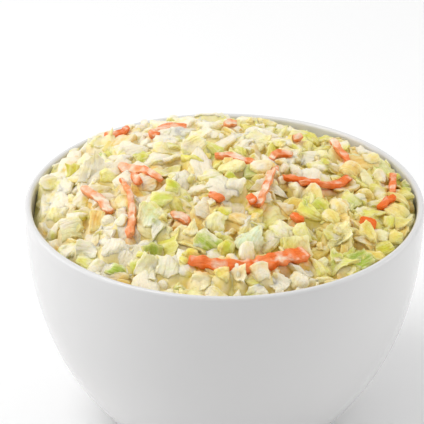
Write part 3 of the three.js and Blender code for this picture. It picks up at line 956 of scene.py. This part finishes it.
class Nodes:
    """The node tree of a new material or world, with short calls to add to it."""

    def __init__(self, name, kind="materials", shader="Principled BSDF"):
        self.owner = getattr(bpy.data, kind).new(name)
        self.owner.use_nodes = True
        self.tree = self.owner.node_tree
        self.shader = self.tree.nodes[shader]

    def add(self, kind, **values):
        node = self.tree.nodes.new(kind)
        for key, value in values.items():
            setattr(node, key, value)
        return node

    def feed(self, node, socket, value):
        """Links a value to a socket, or sets the socket to it."""
        if isinstance(value, bpy.types.NodeSocket):
            self.tree.links.new(value, node.inputs[socket])
        else:
            node.inputs[socket].default_value = value

    def shade(self, socket, value):
        self.feed(self.shader, socket, value)

    def attribute(self, name, output):
        return self.add("ShaderNodeAttribute", attribute_name=name).outputs[output]

    def noise(self, scale, detail, vector=None):
        """Noise of so many waves in a unit of the vector, or without one in a metre."""
        if vector is None:
            vector = self.add("ShaderNodeTexCoord").outputs["Object"]
        node = self.add("ShaderNodeTexNoise")
        self.feed(node, "Vector", vector)
        self.feed(node, "Scale", scale)
        self.feed(node, "Detail", detail)
        return node.outputs["Fac"]

    def mapped(self, value, low, high, to_low, to_high, curve="LINEAR"):
        """A value, with the range from low to high mapped to another and cut off outside it."""
        node = self.add("ShaderNodeMapRange", interpolation_type=curve)
        for socket, number in zip(range(5), (value, low, high, to_low, to_high)):
            self.feed(node, socket, number)
        return node.outputs["Result"]

    def sum(self, a, b):
        node = self.add("ShaderNodeMath", operation="ADD")
        self.feed(node, 0, a)
        self.feed(node, 1, b)
        return node.outputs[0]

    def mixed(self, share, a, b, blend="MIX"):
        """Mix of two colours, each a socket or a linear colour."""
        node = self.add("ShaderNodeMix", data_type="RGBA", blend_type=blend)
        self.feed(node, "Factor", share)
        for socket, colour in ((6, a), (7, b)):
            is_socket = isinstance(colour, bpy.types.NodeSocket)
            self.feed(node, socket, colour if is_socket else (*colour, 1))
        return node.outputs[2]

    def bump(self, height, strength, distance):
        node = self.add("ShaderNodeBump")
        self.feed(node, "Height", height)
        self.feed(node, "Strength", strength)
        self.feed(node, "Distance", distance)
        self.shade("Normal", node.outputs["Normal"])

    def gloss(self, low, high, scale, detail):
        """A roughness that varies from low to high."""
        self.shade("Roughness", self.mapped(self.noise(scale, detail), 0.3, 0.7, low, high))

    def subsurface(self, weight, radius, scale):
        self.shade("Subsurface Weight", weight)
        self.shade("Subsurface Radius", radius)
        self.shade("Subsurface Scale", scale)


def food_material(name, pale, subsurface, glow, rough):
    """Moist food: its tint, paler in fibres, wet in spots, under a patchy film; tint and film hold
    painted light and shade.
    """
    nodes = Nodes(name)
    tint = nodes.attribute("tint", "Color")
    coat = nodes.attribute("coat", "Fac")
    stretch = nodes.add("ShaderNodeVectorMath", operation="MULTIPLY")
    nodes.feed(stretch, 0, nodes.attribute("grain", "Vector"))
    nodes.feed(stretch, 1, FIBRE_STRETCH)
    fibre = nodes.noise(scale=1.3, detail=3, vector=stretch.outputs["Vector"])
    colour = nodes.mixed(nodes.mapped(fibre, 0.44, 0.68, 0, 0.45), tint, pale)
    spots = nodes.mapped(nodes.noise(scale=650, detail=2), 0.48, 0.72, 0, 0.8)
    colour = nodes.mixed(spots, colour, WET, "MULTIPLY")
    patches = nodes.mapped(nodes.noise(scale=300, detail=4), 0.3, 0.7, 0, 1)
    film = nodes.mapped(nodes.sum(patches, coat), 0.6, 1.3, 0, 0.95)
    nodes.shade("Base Color", nodes.mixed(film, colour, DRESSING))
    nodes.gloss(rough, rough + 0.2, scale=500, detail=2)
    nodes.shade("Specular IOR Level", 0.25)
    nodes.bump(nodes.sum(nodes.noise(scale=520, detail=5), fibre), strength=0.75, distance=0.0009)
    nodes.subsurface(subsurface, glow, scale=0.0016)
    return nodes.owner


def dressing_material():
    """Creamy dressing: its tint with painted shade, whiter in patches, smoother and wetter than the
    pieces.
    """
    nodes = Nodes("dressing")
    patches = nodes.mapped(nodes.noise(scale=300, detail=3), 0.4, 0.7, 0, 0.6)
    colour = nodes.mixed(patches, nodes.attribute("tint", "Color"), DRESSING)
    nodes.shade("Base Color", colour)
    nodes.gloss(0.22, 0.42, scale=400, detail=3)
    nodes.bump(nodes.noise(scale=800, detail=4), strength=0.35, distance=0.0005)
    nodes.subsurface(0.4, CABBAGE_GLOW, scale=0.001)
    return nodes.owner


def porcelain_material():
    """White glaze, faintly uneven in shade, gloss and surface."""
    nodes = Nodes("porcelain")
    colour = nodes.mixed(nodes.noise(scale=30, detail=2), GLAZE_DARK, GLAZE_PALE)
    nodes.shade("Base Color", colour)
    nodes.gloss(0.1, 0.16, scale=60, detail=2)
    nodes.bump(nodes.noise(scale=45, detail=1), strength=0.02, distance=0.001)
    return nodes.owner


# ---- Stage ----
def make_key():
    data = bpy.data.lights.new("key", "AREA")
    data.size = KEY_SIZE
    data.energy = KEY_POWER
    lamp = bpy.data.objects.new("key", data)
    lamp.location = KEY_PLACE
    lamp.rotation_mode = "QUATERNION"
    lamp.rotation_quaternion = lamp.location.to_track_quat("Z", "Y")
    lamp.visible_camera = False
    bpy.context.collection.objects.link(lamp)


def make_world():
    """A white sky, dim behind the camera and brighter to the far left and right."""
    nodes = Nodes("studio", "worlds", "Background")
    parts = nodes.add("ShaderNodeSeparateXYZ")
    nodes.feed(parts, "Vector", nodes.add("ShaderNodeTexCoord").outputs["Generated"])
    aside = nodes.add("ShaderNodeMath", operation="ABSOLUTE")
    nodes.feed(aside, 0, parts.outputs["X"])
    front = (parts.outputs["Y"], FRONT_END, FRONT_START, FRONT_LIGHT, SKY_LIGHT)
    sides = (aside.outputs[0], SIDE_START, 1.0, 0.0, SIDE_LIGHT)
    light = nodes.sum(*(nodes.mapped(*slope, "SMOOTHSTEP") for slope in (front, sides)))
    nodes.shade("Color", (1, 1, 1, 1))
    nodes.shade("Strength", light)
    bpy.context.scene.world = nodes.owner


def make_floor():
    signs = np.array([[-1, -1, 0], [1, -1, 0], [1, 1, 0], [-1, 1, 0]])
    floor = mesh_object("floor", FLOOR_HALF * signs, [[0, 1, 2, 3]])
    nodes = Nodes("floor")
    colour = nodes.mixed(nodes.noise(scale=4, detail=2), FLOOR_DARK, FLOOR_PALE)
    nodes.shade("Base Color", colour)
    nodes.shade("Roughness", 0.9)
    nodes.shade("Specular IOR Level", 0.2)
    floor.data.materials.append(nodes.owner)


def make_camera():
    data = bpy.data.cameras.new("camera")
    data.lens = LENS
    data.sensor_width = SENSOR_WIDTH
    data.clip_start, data.clip_end = 0.01, 20
    camera = bpy.data.objects.new("camera", data)
    back = (0, -math.cos(VIEW_ELEVATION), math.sin(VIEW_ELEVATION))
    camera.location = [t + VIEW_DISTANCE * b for t, b in zip(VIEW_TARGET, back)]
    camera.rotation_euler = (math.pi / 2 - VIEW_ELEVATION, 0, 0)
    bpy.context.collection.objects.link(camera)
    bpy.context.scene.camera = camera


def dressed(obj, material):
    """The object, with its material."""
    obj.data.materials.append(material)
    return obj


def make_salad():
    """The heap's objects, each with its material."""
    rng = np.random.default_rng(HEAP_SEED)
    heap = Heap()
    templates = {cut.name: slab(cut.steps, cut.levels) for cut in CUTS}
    under = lay_cabbage(heap, UNDER_SHARE, templates, rng)
    shreds = [carrot(heap, Shred(*row), rng) for row in CARROTS]
    over = lay_cabbage(heap, OVER_SHARE, templates, rng)
    chosen = lay_features(heap, templates, rng)
    shreds += [carrot(heap, Shred(*row), rng) for row in LAST_CARROTS]

    cabbage = food_material("dressed_cabbage", CREAM, 0.5, CABBAGE_GLOW, 0.28)
    orange = food_material("carrot", CARROT, 0.3, CARROT_GLOW, 0.38)
    objects = []
    for cut in CUTS:
        pieces = under[cut.name] + chosen[cut.name] + over[cut.name]
        shown = [piece for piece in pieces if in_sight(heap, piece)]
        objects.append(dressed(joined(cut.name, shown, heap, BLEED), cabbage))
    objects.append(dressed(joined("carrot_shreds", shreds, heap), orange))
    objects.append(dressed(make_dressing(heap, dressing_level(heap)), dressing_material()))
    return objects


def main():
    """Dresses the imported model: the stage, the bowl and the heap's pieces."""
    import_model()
    make_camera()
    make_world()
    make_key()
    make_floor()
    bpy.context.scene.view_settings.view_transform = "Standard"

    bowl = dressed(make_bowl(), porcelain_material())
    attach(bowl, "root")
    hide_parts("bowl")
    for obj in make_salad():
        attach(obj, "root")
        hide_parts("coleslaw")


main()
